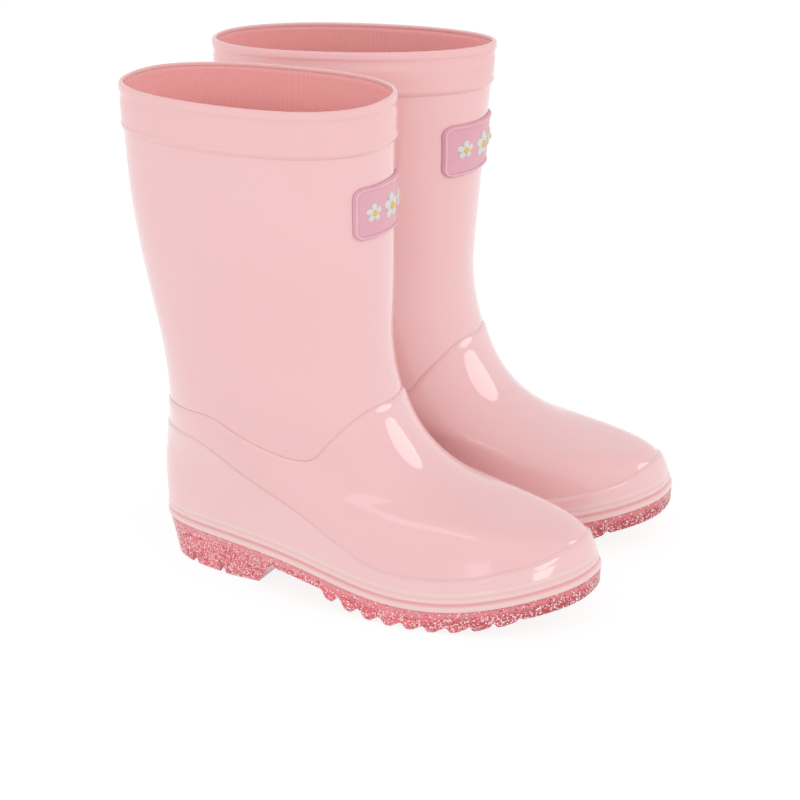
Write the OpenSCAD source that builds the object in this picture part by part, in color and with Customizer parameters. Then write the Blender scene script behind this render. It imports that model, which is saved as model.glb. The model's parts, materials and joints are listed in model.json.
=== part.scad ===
// A pair of child's rain boots: layered glossy uppers, knit lining, loose insole, glitter sole.
// Each boot is lofted through eight oval sections, from the rim (section 0) down to the
// feather line (section 7), where the upper meets the sole. X runs to the toes, Z is up.

/* [Stance] */
// Distance between the two boots, centre to centre
stance = 78; // [76:1:110]
// Angle by which each toe turns outwards
toe_out = 3.35; // [2:0.05:8]
// How far the left boot stands ahead of the right one
left_lead = 1.5; // [-10:0.5:10]

/* [Mouth] */
// Height of the right boot's rim at the front
right_rim_h = 188.8; // [183:0.2:200]
// How much lower the right boot's rim is at the back
right_rim_dip = 2.6; // [0:0.1:8]
// Height of the left boot's rim at the front
left_rim_h = 192; // [183:0.2:200]
// How much lower the left boot's rim is at the back
left_rim_dip = 5.3; // [0:0.1:8]
// How far the rim stands behind the heel seat
rim_back = 15.6; // [10:0.2:20]
// Length of the right boot's mouth, back to front
right_mouth_len = 110.1; // [107:0.1:120]
// Width of the right boot's mouth
right_mouth_w = 63.5; // [52:0.5:66]
// Share by which the right boot's mouth is wider at the front than in its middle
right_mouth_egg = 0.12; // [-0.15:0.01:0.15]
// Length of the left boot's mouth, back to front
left_mouth_len = 116.6; // [107:0.1:120]
// Width of the left boot's mouth
left_mouth_w = 50; // [46:0.5:66]
// Share by which the left boot's mouth is wider at the front than in its middle
left_mouth_egg = -0.04; // [-0.15:0.01:0.15]

/* [Shaft] */
// Height of the upper shaft section
upper_h = 148.5; // [144:0.5:152]
// Length of the upper shaft section
upper_len = 105; // [101:0.5:110]
// Width of the upper shaft section
upper_w = 64; // [60:0.5:68]
// How far the upper shaft section stands behind the heel seat
upper_back = 11; // [9:0.5:13]
// Height of the lower shaft section
lower_h = 112; // [108:1:116]
// Length of the lower shaft section
lower_len = 96.6; // [93:0.2:100]
// Width of the lower shaft section
lower_w = 65; // [62:0.5:68]
// How far the lower shaft section stands behind the heel seat
lower_back = 4.5; // [3:0.5:6]
// Height of the ankle section
ankle_h = 86; // [83:1:90]
// Length of the ankle section
ankle_len = 91; // [89:0.5:95]
// Width of the ankle section
ankle_w = 66; // [63:0.5:68]
// How far the ankle section is drawn in at the back
ankle_in = 1.5; // [0.5:0.25:2.5]

/* [Foot] */
// Length of the foot at the feather line
foot_len = 173.6; // [170:0.2:182]
// How far the feather line starts ahead of the heel seat
seat_in = 1.2; // [0:0.2:2]
// Width across the ball of the foot
ball_w = 72; // [68:0.5:74]
// Width across the heel seat
heel_w = 57.6; // [54:0.5:60]
// Depth of the arch hollow on the inner side
arch_in = 3.6; // [1:0.2:5]
// How far the toe leans to the inner side
toe_lean = 3.5; // [0:0.5:7]
// Height of the instep section at the front
instep_h = 56.6; // [54:0.2:60]
// Distance of the instep section's front from the heel
instep_x = 105; // [102:0.5:109]
// Width of the instep section
instep_w = 64.6; // [62:0.2:67]
// Height of the instep section at the heel
instep_heel_h = 66; // [63:0.5:69]
// How far the instep section is drawn in at the heel
instep_in = 2.8; // [1:0.2:3.6]
// Height of the vamp section at the front
vamp_h = 38.8; // [37:0.2:42]
// Distance of the vamp section's front from the heel
vamp_x = 136; // [132:0.5:140]
// Width of the vamp section
vamp_w = 63; // [60:0.5:66]
// Height of the vamp section at the heel
vamp_heel_h = 50; // [47:0.5:53]
// How far the vamp section is drawn in at the heel
vamp_in = 1.8; // [0:0.2:3]
// How much the outer side of the vamp is drawn in, as a share of its half width
vamp_slope = 0.22; // [0:0.02:0.3]
// Height of the toe section at the front
toe_h = 33; // [31:0.5:35]
// Distance of the toe section's front from the heel
toe_x = 168; // [165:0.5:169.5]
// Width of the toe section
toe_w = 65; // [62:0.5:68]
// Height of the toe section at the heel
toe_heel_h = 34; // [31:0.5:36]
// How far the heel bulges out behind the heel seat
heel_bulge = 0; // [0:0.25:2]

/* [Layers] */
// Thickness of the leg and galosh walls
wall = 2.2; // [1.8:0.1:2.6]
// Thickness of the knit lining
lining_t = 1.2; // [0.8:0.1:1.6]
// Thickness of the galosh where it laps over the leg
galosh_lap = 0.7; // [0.4:0.1:1]
// Thickness of the foxing on the galosh
foxing_t = 0.8; // [0.5:0.1:1]
// How far the rim bead stands proud of the leg
bead = 0.75; // [0.6:0.05:2]
// How far the welt's beads stand proud of the foxing
welt_bead = 0.6; // [0.4:0.1:1.6]

/* [Sole] */
// How far the sole's edge stands out from the feather line
sole_edge = 1; // [0.4:0.1:1.6]
// Length of the heel block along the ground
heel_len = 50; // [46:0.5:52]
// Length of the bevel at the back of the heel
heel_bevel = 5.5; // [2:0.5:6]
// Thickness of the sole under the arch
arch_t = 5; // [4:0.25:6]
// Number of saw-tooth lugs under the forefoot
lug_n = 9; // [7:1:9]
// Distance from one lug to the next
lug_pitch = 8.3; // [7.6:0.1:8.4]
// Depth of the gaps between the lugs
lug_depth = 2.1; // [1.4:0.1:2.6]
// Width of the two grooves across the heel
groove_w = 1.6; // [1:0.1:2.4]
// Depth of the two grooves across the heel
groove_d = 4.5; // [2:0.25:6]

/* [Insole] */
// Thickness of the insole's foam
foam_t = 3; // [2:0.25:4]
// Thickness of the insole's fabric cover
cover_t = 0.8; // [0.5:0.1:1.2]
// Gap between the insole and the lining's side walls
insole_gap = 2.6; // [2.2:0.1:4]
// Share of its width that the insole gives up on the outer side, where the vamp leans in over it
insole_ease = 0.12; // [0.1:0.01:0.16]

/* [Badge] */
// Width of the badge across the shaft
badge_w = 36; // [28:1:38]
// Height of the badge
badge_h = 19.5; // [18:0.5:24]
// How far the badge sits to the inner side of the shaft's front
badge_shift = 2; // [-3:0.5:3]
// Radius of the badge's corners
badge_r = 3.5; // [2:0.25:5]
// Thickness of the badge's plate
badge_t = 1; // [0.8:0.1:1.6]
// Width of the badge's raised border
border_w = 0.8; // [0.8:0.1:1.6]
// Height of the raised border on the plate
border_t = 0.5; // [0.3:0.1:0.8]
// Outer radius of the middle blossom
blossom_r = 5; // [3.5:0.25:5.5]
// Height of the blossoms on the plate
blossom_t = 0.8; // [0.5:0.1:1]
// Height of the blossoms' round centres on the petals
centre_t = 0.5; // [0.3:0.1:0.8]
// Distance of the border from the plate's edge
border_in = 0.6; // [0.6:0.1:1.4]

/* [Hidden] */
RIGHT = 0;
LEFT = 1;
// Columns round the boot, and the degrees from one to the next
cols = 36;
turn = 360 / cols;
// Gap between pieces on different bodies, and the cement line over the sole and under the badge
clear = 0.3;
cement = 0.18;
// Half the tilt of the shaft's sections, front over back
tilt = 1;
// Millimetres of shaft in one section step below the rim
shaft_step = 39;
// Height of the bead over the leg's top edge, and depth of the top band
rim_lip = 1.2;
band_h = 16.72;
// Sections of the leg's top edge, the top band's lower edge and the welt's upper edge
rim_s = rim_lip / shaft_step;
band_s = band_h / shaft_step;
welt_s = 6.74;
// The galosh and foxing top lines, as sections, every 15 degrees from the toe to the heel
galosh_line = [3.4, 3.4, 3.47, 3.65, 3.92, 4.22, 4.12, 3.83, 3.85, 3.95, 4.02, 4.05, 4.05];
foxing_line = [6.1, 6.14, 6.31, 6.44, 6.54, 6.56, 6.27, 5.12, 4.56, 4.56, 4.66, 4.75, 4.78];
// Heights of the feather line in six even steps from the heel to the toe
feather_line = [14.6, 15.6, 13.2, 9.2, 10.2, 18.5];
// Where the forefoot lies flat on the ground, and how fast it rises behind and ahead of that
flat_x0 = 112;
flat_x1 = 122;
rise_back = 160;
rise_toe = 190;
// Length of the rise at the toe's start, after which the tread runs on straight at this slope
toe_bend = 30;
toe_spring = 0.24;
// Place of the first lug's tip and of the heel grooves
lug_x0 = 84.2;
groove_x = [20, 34];
// Turning point of the stance
pivot_x = 70;
// Section in the middle of the badge, and the spacing of its side blossoms
badge_s = 0.98;
blossom_step = 10.5;
side_blossom_r = blossom_r * 0.72;
pink = "pink";
salmon = "lightcoral";
glitter = "palevioletred";
cream = "linen";

function clamp(v) = max(0, min(1, v));
function smooth(v) = let(t = clamp(v)) t * t * (3 - 2 * t);
function spow(v, e) = sign(v) * pow(abs(v), e);
function slope(v, i) =
    i == 0 ? v[1] - v[0] : i == len(v) - 1 ? v[i] - v[i - 1] : (v[i + 1] - v[i - 1]) / 2;
// Smooth curve through evenly spaced values
function spline(v, s) =
    let(i = max(0, min(floor(s), len(v) - 2)), t = s - i, u = t * t, w = u * t)
    (2 * w - 3 * u + 1) * v[i] + (w - 2 * u + t) * slope(v, i)
    + (3 * u - 2 * w) * v[i + 1] + (w - u) * slope(v, i + 1);

// One oval section: back x, front x, back z, front z, half width, squareness, widening to the front
function sections(side) =
    let(mouth = side == RIGHT ? right_mouth_len : left_mouth_len,
        mouth_w = side == RIGHT ? right_mouth_w : left_mouth_w,
        egg = side == RIGHT ? right_mouth_egg : left_mouth_egg,
        rim = side == RIGHT ? right_rim_h : left_rim_h,
        dip = side == RIGHT ? right_rim_dip : left_rim_dip,
        ease = (mouth - (right_mouth_len + left_mouth_len) / 2) / 2,
        up = upper_h + rim - (right_rim_h + left_rim_h) / 2)
    [
        [-rim_back, mouth - rim_back, rim - dip, rim, mouth_w / 2, 2.35, egg],
        [-upper_back, upper_len - upper_back + ease, up - tilt, up + tilt, upper_w / 2, 2.25, 0],
        [-lower_back, lower_len - lower_back, lower_h - tilt, lower_h + tilt, lower_w / 2, 2.2, 0],
        [ankle_in, ankle_len + ankle_in, ankle_h - tilt, ankle_h + tilt, ankle_w / 2, 2.15, 0],
        [instep_in, instep_x, instep_heel_h, instep_h, instep_w / 2, 2.2, 0],
        [vamp_in, vamp_x, vamp_heel_h, vamp_h, vamp_w / 2, 2.25, 0],
        [-heel_bulge, toe_x, toe_heel_h, toe_h, toe_w / 2, 2.3, 0],
        [seat_in, seat_in + foot_len, feather_line[0], feather_line[5], ball_w / 2, 2.35, 0]
    ];
function feather(p) = spline(feather_line, clamp((p + 1) / 2) * 5);
function feather_at(x) = feather(2 * (x - seat_in) / foot_len - 1);
// Share of the ball's width at place p along the foot, on the side that q points to
function tread_share(p, q) =
    let(ball = 0.35, seat = heel_w / ball_w,
        w = p > ball ? 1 : seat + (1 - seat) * (1 + cos(180 * (ball - p) / (ball + 1))) / 2,
        hollow = (q < 0 ? 0.35 : 1) * 2 * arch_in / ball_w)
    w - hollow * exp(-pow((p + 0.15) / 0.35, 2));
// Share of the width that the outer side of the vamp keeps, since it slopes from the ridge to the sole
function vamp_share(s, p, q) =
    q < 0 ? 1 - vamp_slope * smooth((s - 3.3) / 1.2) * (1 - smooth(s - 6)) * smooth((p + 0.3) / 0.9) : 1;
// A point of a boot's outer skin at section s and angle a, where 0 is the toe side
function skin(sec, s, a) =
    let(r = spline(sec, s), p = spow(cos(a), 2 / r[5]), q = spow(sin(a), 2 / r[5]),
        k = smooth((s - 3) / 4),
        w = (1 + r[6] * p) * vamp_share(s, p, q) * (1 + k * (tread_share(p, q) - 1)),
        lean = clamp((p + 0.2) / 1.2),
        drop = feather_line[0] + (feather_line[5] - feather_line[0]) * (p + 1) / 2 - feather(p))
    [
        (r[0] + r[1]) / 2 + (r[1] - r[0]) / 2 * p,
        r[4] * q * w + k * toe_lean * lean * lean,
        (r[2] + r[3]) / 2 + (r[3] - r[2]) / 2 * p - pow(clamp((s - 5) / 2), 2) * drop
    ];
// Rise of the feather line at place x
function feather_rise(x) =
    let(e = 2, u = max(seat_in, min(seat_in + foot_len - e, x - e / 2)))
    (feather_at(u + e) - feather_at(u)) / e;
// Outward direction of the skin, laid along the feather line's rise towards the sole
function outward(sec, s, a) =
    let(e = 0.02, down = skin(sec, min(s + e, 7), a) - skin(sec, max(s - e, 0), a),
        along = skin(sec, s, a + 1) - skin(sec, s, a - 1), n = cross(down, along), k = smooth((s - 5) / 2),
        f = [n.x, n.y, n.z * (1 - k) + n.x * feather_rise(skin(sec, s, a).x) * k])
    f / norm(f);
function lifted(sec, s, a, d) = skin(sec, s, a) + d * outward(sec, s, a);
// Where the two laid-on layers start, at angle a
function line_at(line, a) = spline(line, abs(a > 180 ? a - 360 : a) / 15);
function galosh_s(a) = line_at(galosh_line, a);
function foxing_s(a) = line_at(foxing_line, a);
function between(lo, hi, shares) = [for (t = shares) lo + (hi - lo) * t];
// Rows of the walls' inner faces, which the lining follows
function leg_rows(a) = concat([rim_s, band_s], between(band_s, galosh_s(a), [0.32, 0.56, 0.75, 0.88, 1]));
function galosh_rows(a) =
    let(g = galosh_s(a), f = foxing_s(a))
    concat(between(g, f, [1 / 3, 2 / 3, 1]), between(f, 7, [0.5, 1]));
function at_depth(rows, d) = [for (s = rows) [s, d]];
function reversed(v) = [for (i = [len(v) - 1:-1:0]) v[i]];
function tail(v) = [for (i = [1:len(v) - 1]) v[i]];

// Cross-sections of the layers, as [section, distance from the skin], at angle a
function leg_loop(a) =
    let(rows = leg_rows(a))
    concat([[rim_s, 0], [band_s / 2, 0]], at_depth(tail(rows), 0), at_depth(reversed(rows), -wall));
function band_loop(a) =
    let(mm = 1 / shaft_step, inner = -wall - lining_t)
    [
        [rim_s, inner], [0.4 * mm, inner + 0.3], [0, inner + 1.1], [0, -0.3], [0.5 * mm, bead * 0.7],
        [1.7 * mm, bead], [3 * mm, bead * 0.8], [3.8 * mm, 0.3], [5.4 * mm, 0.25], [6.2 * mm, 0.5],
        [7 * mm, 0.7], [band_s - 1.2 * mm, 0.7], [band_s - 0.3 * mm, 0.7], [band_s, 0],
        [band_s / 2, 0], [rim_s, 0], [rim_s, -wall]
    ];
function galosh_loop(a) =
    let(g = galosh_s(a), f = foxing_s(a), lap = galosh_lap, rows = galosh_rows(a))
    concat([[g, 0], [g + 0.015, lap * 0.6], [g + 0.045, lap]], at_depth(between(g, f, [1 / 3, 2 / 3, 1]), lap),
        at_depth(between(f, welt_s, [0.5, 1]), lap), [[7, lap]], at_depth(reversed(rows), -wall), [[g, -wall]]);
function foxing_loop(a) =
    let(f = foxing_s(a), lap = galosh_lap, top = galosh_lap + foxing_t)
    [
        [f, lap], [f + 0.012, lap + foxing_t * 0.65], [f + 0.035, top], [(f + welt_s) / 2, top],
        [welt_s, top], [welt_s, lap], [(f + welt_s) / 2, lap]
    ];
function welt_loop(a) =
    let(lap = galosh_lap, top = galosh_lap + foxing_t, proud = top + welt_bead)
    [
        [welt_s, lap], [welt_s, top], [6.76, top + welt_bead * 0.6], [6.795, proud * 0.96],
        [6.84, top + welt_bead * 0.5], [6.855, top], [6.9, top], [6.915, top + welt_bead * 0.6],
        [6.95, proud], [6.985, top + welt_bead * 0.7], [7, top], [7, lap]
    ];

// Triangles between two neighbouring rings, split so that layers on one another share them
function quad(m, i, k, j, down) =
    let(n = (j + 1) % cols, a = j * m + i, b = j * m + k, c = n * m + k, d = n * m + i)
    down ? [[a, c, b], [a, d, c]] : [[a, d, b], [b, d, c]];
// A closed ring of the given cross-section, once round the boot
module ring(sec, loop) {
    section = [for (j = [0:cols - 1]) loop(j * turn)];
    m = len(section[0]);
    points = [for (j = [0:cols - 1]) for (c = section[j]) lifted(sec, c[0], j * turn, c[1])];
    faces = [
        for (j = [0:cols - 1]) for (i = [0:m - 1])
            let(k = (i + 1) % m, step = section[j][k] - section[j][i])
                each quad(m, i, k, j, step[0] > 0 || (step[0] == 0 && step[1] < 0))
    ];
    polyhedron(points, faces);
}
// A sock: two nested skins closed across the tread
module sock(sec, rows, d_out, d_in, floor_t) {
    sets = [for (j = [0:cols - 1]) rows(j * turn)];
    r = len(sets[0]);
    m = 2 * r;
    points = [
        for (j = [0:cols - 1]) each concat(
            [for (s = sets[j]) lifted(sec, s, j * turn, d_out)],
            [for (i = [r - 1:-1:0]) lifted(sec, sets[j][i], j * turn, d_in) + [0, 0, i == r - 1 ? floor_t : 0]])
    ];
    walls = [
        for (j = [0:cols - 1]) for (i = [0:m - 1])
            if (i != r - 1) each quad(m, i, (i + 1) % m, j, i < r - 1)
    ];
    // The tread is closed by strips across the foot, from the toe to the heel
    tread = [
        for (j = [0:cols / 2 - 1]) for (t = tread_tris(j)) each [
            [for (v = reversed(t)) v * m + r - 1],
            [for (v = t) v * m + r]
        ]
    ];
    polyhedron(points, concat(walls, tread));
}
function tread_tris(j) =
    let(a = j, b = j + 1, c = cols - j - 1, d = (cols - j) % cols)
    j == 0 ? [[a, c, b]] : j == cols / 2 - 1 ? [[a, d, b]] : [[a, d, b], [b, d, c]];

// A patch on the front of the shaft: u is across, v is up, from the badge's middle
// It lies on the leg's row of faces under the top band, so that it stays on them at every size
function badge_point(sec, u, v, d) =
    let(s = badge_s - v / shaft_step, r = spline(sec, s), a = asin(spow((u + badge_shift) / r[4], r[5] / 2)),
        end = leg_rows(a)[2], t = (s - band_s) / (end - band_s))
    lifted(sec, band_s, a, d) * (1 - t) + lifted(sec, end, a, d) * t;
// Half height of a rounded rectangle at distance u from its middle
function round_half(w, h, r, u) =
    let(e = max(0, abs(u) - (w / 2 - r))) h / 2 - r + sqrt(max(0, r * r - e * e));
module plate(sec, w, h, r, d0, d1) {
    flat = between(r - w / 2, w / 2 - r, [0:1 / 8:1]);
    us = concat([-w / 2, -w / 2 + r * 0.3], flat, [w / 2 - r * 0.3, w / 2]);
    n = len(us);
    // Each column: lower front, upper front, upper back, lower back
    points = [
        for (u = us) let(e = round_half(w, h, r, u)) each [
            badge_point(sec, u, -e, d1), badge_point(sec, u, e, d1),
            badge_point(sec, u, e, d0), badge_point(sec, u, -e, d0)
        ]
    ];
    sides = [
        for (i = [0:n - 2]) for (k = [0:3])
            let(a = i * 4 + k, b = i * 4 + (k + 1) % 4) each [[a, b, b + 4], [a, b + 4, a + 4]]
    ];
    last = 4 * n - 4;
    ends = [[0, 3, 2], [0, 2, 1], [last, last + 1, last + 2], [last, last + 2, last + 3]];
    polyhedron(points, concat(sides, ends));
}
// Outline of a rounded rectangle, inset by e
function round_outline(w, h, r, e) = [
    for (q = [[1, 1, 0], [-1, 1, 90], [-1, -1, 180], [1, -1, 270]]) for (t = [0:30:90])
        [q[0] * (w / 2 - r) + (r - e) * cos(q[2] + t), q[1] * (h / 2 - r) + (r - e) * sin(q[2] + t)]
];
// Extra points on the long edges keep a frame on the curve of the shaft
function edged(v) = [
    for (i = [0:len(v) - 1]) let(p = v[i], q = v[(i + 1) % len(v)])
        each norm(q - p) < 12 ? [p] : [for (t = [0:1 / 6:0.99]) p + (q - p) * t]
];
module frame(sec, w, h, r, e, d0, d1) {
    outer = edged(round_outline(w, h, r, e));
    inner = edged(round_outline(w, h, r, e + border_w));
    n = len(outer);
    points = [
        for (i = [0:n - 1]) each [
            badge_point(sec, outer[i].x, outer[i].y, d0), badge_point(sec, outer[i].x, outer[i].y, d1),
            badge_point(sec, inner[i].x, inner[i].y, d1), badge_point(sec, inner[i].x, inner[i].y, d0)
        ]
    ];
    faces = [
        for (i = [0:n - 1]) for (k = [0:3])
            let(j = (i + 1) % n, a = i * 4 + k, b = i * 4 + (k + 1) % 4, c = j * 4 + (k + 1) % 4, d = j * 4 + k)
            each [[a, b, c], [a, c, d]]
    ];
    polyhedron(points, faces);
}
// A flat-topped boss with a star-shaped outline, r as a function of the angle
module boss(sec, u, v, radius, n, d0, d1) {
    rim = [for (i = [0:n - 1]) let(t = 360 * i / n) [u + radius(t) * sin(t), v + radius(t) * cos(t)]];
    points = concat([badge_point(sec, u, v, d0), badge_point(sec, u, v, d1)],
        [for (p = rim) badge_point(sec, p.x, p.y, d0)], [for (p = rim) badge_point(sec, p.x, p.y, d1)]);
    faces = [
        for (i = [0:n - 1]) let(a = 2 + i, b = 2 + (i + 1) % n)
            each [[0, b, a], [1, a + n, b + n], [a, b, b + n], [a, b + n, a + n]]
    ];
    polyhedron(points, faces);
}
function blossoms() = [[-blossom_step, side_blossom_r], [0, blossom_r], [blossom_step, side_blossom_r]];

// Outline of the tread, moved out by d
function tread_outline(sec, d) =
    [for (j = [0:cols - 1]) let(p = lifted(sec, 7, j * turn, d)) [p.x, p.y]];
// Side view of the upper's floor from the heel to the toe, at distance d from the skin, with flat ends
function floor_line(sec, d) =
    let(v = [for (j = [cols / 2:-1:0]) (lifted(sec, 7, j * turn, d) + lifted(sec, 7, -j * turn, d)) / 2])
    concat([[sole_x0, v[0].z]], [for (p = v) [p.x, p.z]], [[sole_x1, v[len(v) - 1].z]]);
function raised(v, h) = [for (p = v) [p.x, p.y + h]];
// Height of the tread under place x, where the forefoot rolls up to the toe and to the arch
function ground_at(x) =
    let(back = max(0, flat_x0 - x), toe = max(0, x - flat_x1), bend = min(toe, toe_bend))
    back * back / rise_back + bend * bend / rise_toe + (toe - bend) * toe_spring;
lug_end = lug_x0 + lug_n * lug_pitch;
sole_x0 = -4;
sole_x1 = seat_in + foot_len + 4;
function along(x0, x1, n) = [for (i = [0:n]) x0 + (x1 - x0) * i / n];
// Side view of the sole: top edge first, then the tread back from the toe to the heel
function sole_profile(sec) =
    let(breast = heel_len + 9)
    concat(raised(floor_line(sec, sole_edge), -cement),
        [for (x = along(sole_x1, lug_end, 5)) [x, ground_at(x) + lug_depth * 0.5]],
        [for (i = [lug_n - 1:-1:0]) let(x = lug_x0 + i * lug_pitch, z = ground_at(x)) each [
            [x + lug_pitch - 0.9, ground_at(x + lug_pitch) + lug_depth], [x + 0.7 * lug_pitch, z + lug_depth],
            [x + 0.32 * lug_pitch, ground_at(x + 0.32 * lug_pitch)], [x, z]
        ]],
        [for (x = along(lug_x0 - 1.2, breast, 4)) [x, feather_at(x) - arch_t]],
        [[heel_len, 0], [heel_bevel, 0], [heel_bevel - 1.4, 1], [seat_in - sole_edge - 0.4, feather_line[0] - 0.6]]);
// A bar over the whole width with the given side view
module across(profile) {
    rotate([90, 0, 0]) linear_extrude(height = 120, center = true) polygon(profile);
}
// Outline of the insole, which is narrower on the outer side under the vamp
function bed_outline(sec, inset) = [
    for (p = tread_outline(sec, -inset))
        [p.x, p.y < 0 ? p.y * (1 - insole_ease * smooth((p.x - 50) / 40)) : p.y]
];
// A bent sheet that follows the lining's floor, between two heights over the feather line
module footbed(sec, inset, z0, z1) {
    bed = floor_line(sec, -wall - lining_t);
    intersection() {
        linear_extrude(height = 60) polygon(bed_outline(sec, inset));
        across(concat(raised(bed, z0), raised(reversed(bed), z1)));
    }
}

// Place of a boot in the pair, with the pair's middle over the origin
function stood_x(side, p) =
    pivot_x + (p.x - pivot_x) * cos(toe_out) + p.y * sin(toe_out) + (side == LEFT ? left_lead : 0);
edges = [
    for (side = [RIGHT, LEFT]) for (j = [0:cols - 1]) for (c = [band_loop(0)[5], welt_loop(0)[8]])
        stood_x(side, lifted(sections(side), c[0], j * turn, c[1]))
];
middle_x = (min(edges) + max(edges)) / 2;
module stand(side) {
    lead = side == LEFT ? left_lead : 0;
    way = side == LEFT ? 1 : -1;
    translate([pivot_x + lead - middle_x, way * stance / 2, 0])
        rotate(way * toe_out)
            translate([-pivot_x, 0, 0])
                mirror([0, side == LEFT ? 1 : 0, 0]) children();
}

// Leg of the boot, from the rim to the galosh line
module leg_shell(side) {
    color(pink) stand(side) ring(sections(side), function(a) leg_loop(a));
}
// Band round the mouth with the rolled rim bead
module top_band(side) {
    color(pink) stand(side) ring(sections(side), function(a) band_loop(a));
}
// Foot part, lapped over the leg at its top edge
module galosh(side) {
    color(pink) stand(side) ring(sections(side), function(a) galosh_loop(a));
}
// Heel counter and toe band in one strip on the galosh
module foxing(side) {
    color(pink) stand(side) ring(sections(side), function(a) foxing_loop(a));
}
// Two beads and a groove round the foot over the sole
module welt(side) {
    color(salmon) stand(side) ring(sections(side), function(a) welt_loop(a));
}
// Sole with heel block, thin arch and saw-tooth lugs
module outsole(side) {
    color(glitter) stand(side) difference() {
        intersection() {
            linear_extrude(height = 30) polygon(tread_outline(sections(side), sole_edge));
            across(sole_profile(sections(side)));
        }
        for (x = groove_x)
            translate([x - groove_w / 2, -60, -1]) cube([groove_w, 120, groove_d + 1]);
    }
}
// Knit sock inside the leg and galosh, closed under the foot
module lining_sock(side) {
    color(salmon) stand(side)
        sock(sections(side), function(a) concat(leg_rows(a), galosh_rows(a)),
            -wall, -wall - lining_t, lining_t);
}
// Foam layer of the loose insole
module insole_foam(side) {
    base = lining_t + clear;
    color(cream) stand(side) footbed(sections(side), wall + lining_t + insole_gap, base, base + foam_t);
}
// Fabric cover of the loose insole
module insole_cover(side) {
    base = lining_t + clear + foam_t;
    color(salmon) stand(side) footbed(sections(side), wall + lining_t + insole_gap, base, base + cover_t);
}
// Plate of the badge, bent round the front of the shaft
module badge_plate(side) {
    color(glitter) stand(side) plate(sections(side), badge_w, badge_h, badge_r, cement, badge_t);
}
// Raised border of the badge
module badge_border(side) {
    color(pink) stand(side)
        frame(sections(side), badge_w, badge_h, badge_r, border_in, badge_t + cement, badge_t + border_t);
}
// Three five-petalled blossoms in a row
module badge_blossoms(side) {
    color("white") stand(side) for (b = blossoms())
        boss(sections(side), b[0], 0, function(t) b[1] * (0.8 + 0.2 * cos(5 * t)), 30,
            badge_t + cement, badge_t + blossom_t);
}
// Round centres of the blossoms
module badge_centres(side) {
    color("gold") stand(side) for (b = blossoms())
        boss(sections(side), b[0], 0, function(t) b[1] * 0.3, 12,
            badge_t + blossom_t + cement, badge_t + blossom_t + centre_t);
}

leg_shell(RIGHT);  // right_leg_shell
top_band(RIGHT);  // right_top_band
galosh(RIGHT);  // right_galosh
foxing(RIGHT);  // right_foxing
welt(RIGHT);  // right_welt
outsole(RIGHT);  // right_outsole
lining_sock(RIGHT);  // right_lining_sock
insole_foam(RIGHT);  // right_insole_foam
insole_cover(RIGHT);  // right_insole_cover
badge_plate(RIGHT);  // right_badge_plate
badge_border(RIGHT);  // right_badge_border
badge_blossoms(RIGHT);  // right_badge_blossoms
badge_centres(RIGHT);  // right_badge_centres
leg_shell(LEFT);  // left_leg_shell
top_band(LEFT);  // left_top_band
galosh(LEFT);  // left_galosh
foxing(LEFT);  // left_foxing
welt(LEFT);  // left_welt
outsole(LEFT);  // left_outsole
lining_sock(LEFT);  // left_lining_sock
insole_foam(LEFT);  // left_insole_foam
insole_cover(LEFT);  // left_insole_cover
badge_plate(LEFT);  // left_badge_plate
badge_border(LEFT);  // left_badge_border
badge_blossoms(LEFT);  // left_badge_blossoms
badge_centres(LEFT);  // left_badge_centres
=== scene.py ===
"""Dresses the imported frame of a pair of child's rain boots for a plain studio picture.

Sizes are in millimetres in a boot's own axes, X to the toe, Y to the wearer's left and Z up, until
BootForm.stand puts the points into the shared frame, in metres.
"""
import json
import logging
import math
from dataclasses import dataclass, field
from enum import Enum

import bpy
import numpy as np
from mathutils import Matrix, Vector

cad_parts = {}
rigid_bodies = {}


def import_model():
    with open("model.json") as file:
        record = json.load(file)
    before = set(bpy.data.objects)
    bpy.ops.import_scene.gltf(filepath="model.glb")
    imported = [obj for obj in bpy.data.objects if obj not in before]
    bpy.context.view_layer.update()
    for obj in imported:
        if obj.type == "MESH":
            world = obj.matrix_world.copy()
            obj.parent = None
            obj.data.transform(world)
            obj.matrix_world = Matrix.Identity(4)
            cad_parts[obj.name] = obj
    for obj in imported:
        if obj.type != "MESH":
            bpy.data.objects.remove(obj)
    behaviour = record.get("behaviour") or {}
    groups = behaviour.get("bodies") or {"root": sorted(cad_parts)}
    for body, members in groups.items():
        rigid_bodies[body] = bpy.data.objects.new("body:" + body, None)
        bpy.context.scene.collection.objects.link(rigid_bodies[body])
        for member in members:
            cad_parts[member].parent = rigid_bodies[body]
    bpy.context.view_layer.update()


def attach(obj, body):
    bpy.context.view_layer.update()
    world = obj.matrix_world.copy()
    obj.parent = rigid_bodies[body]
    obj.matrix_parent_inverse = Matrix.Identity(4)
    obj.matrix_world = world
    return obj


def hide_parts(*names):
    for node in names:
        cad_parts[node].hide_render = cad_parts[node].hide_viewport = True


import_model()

LOG = logging.getLogger("rain_boots")
Array = np.ndarray
Colour = tuple[float, float, float]
Profile = list[tuple[float, float]]
# Section of the feather line, the last one down from the rim
FEATHER = 7


# Curves

def clamp(v: Array) -> Array:
    """Holds a value between 0 and 1."""
    return np.clip(v, 0.0, 1.0)


def smooth(v: Array) -> Array:
    """Eases a value from 0 to 1 with level ends."""
    t = clamp(v)
    return t * t * (3 - 2 * t)


def signed_power(v: Array, e: Array) -> Array:
    """Raises the size of a value to a power and keeps its sign."""
    return np.sign(v) * np.abs(v) ** e


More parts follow.
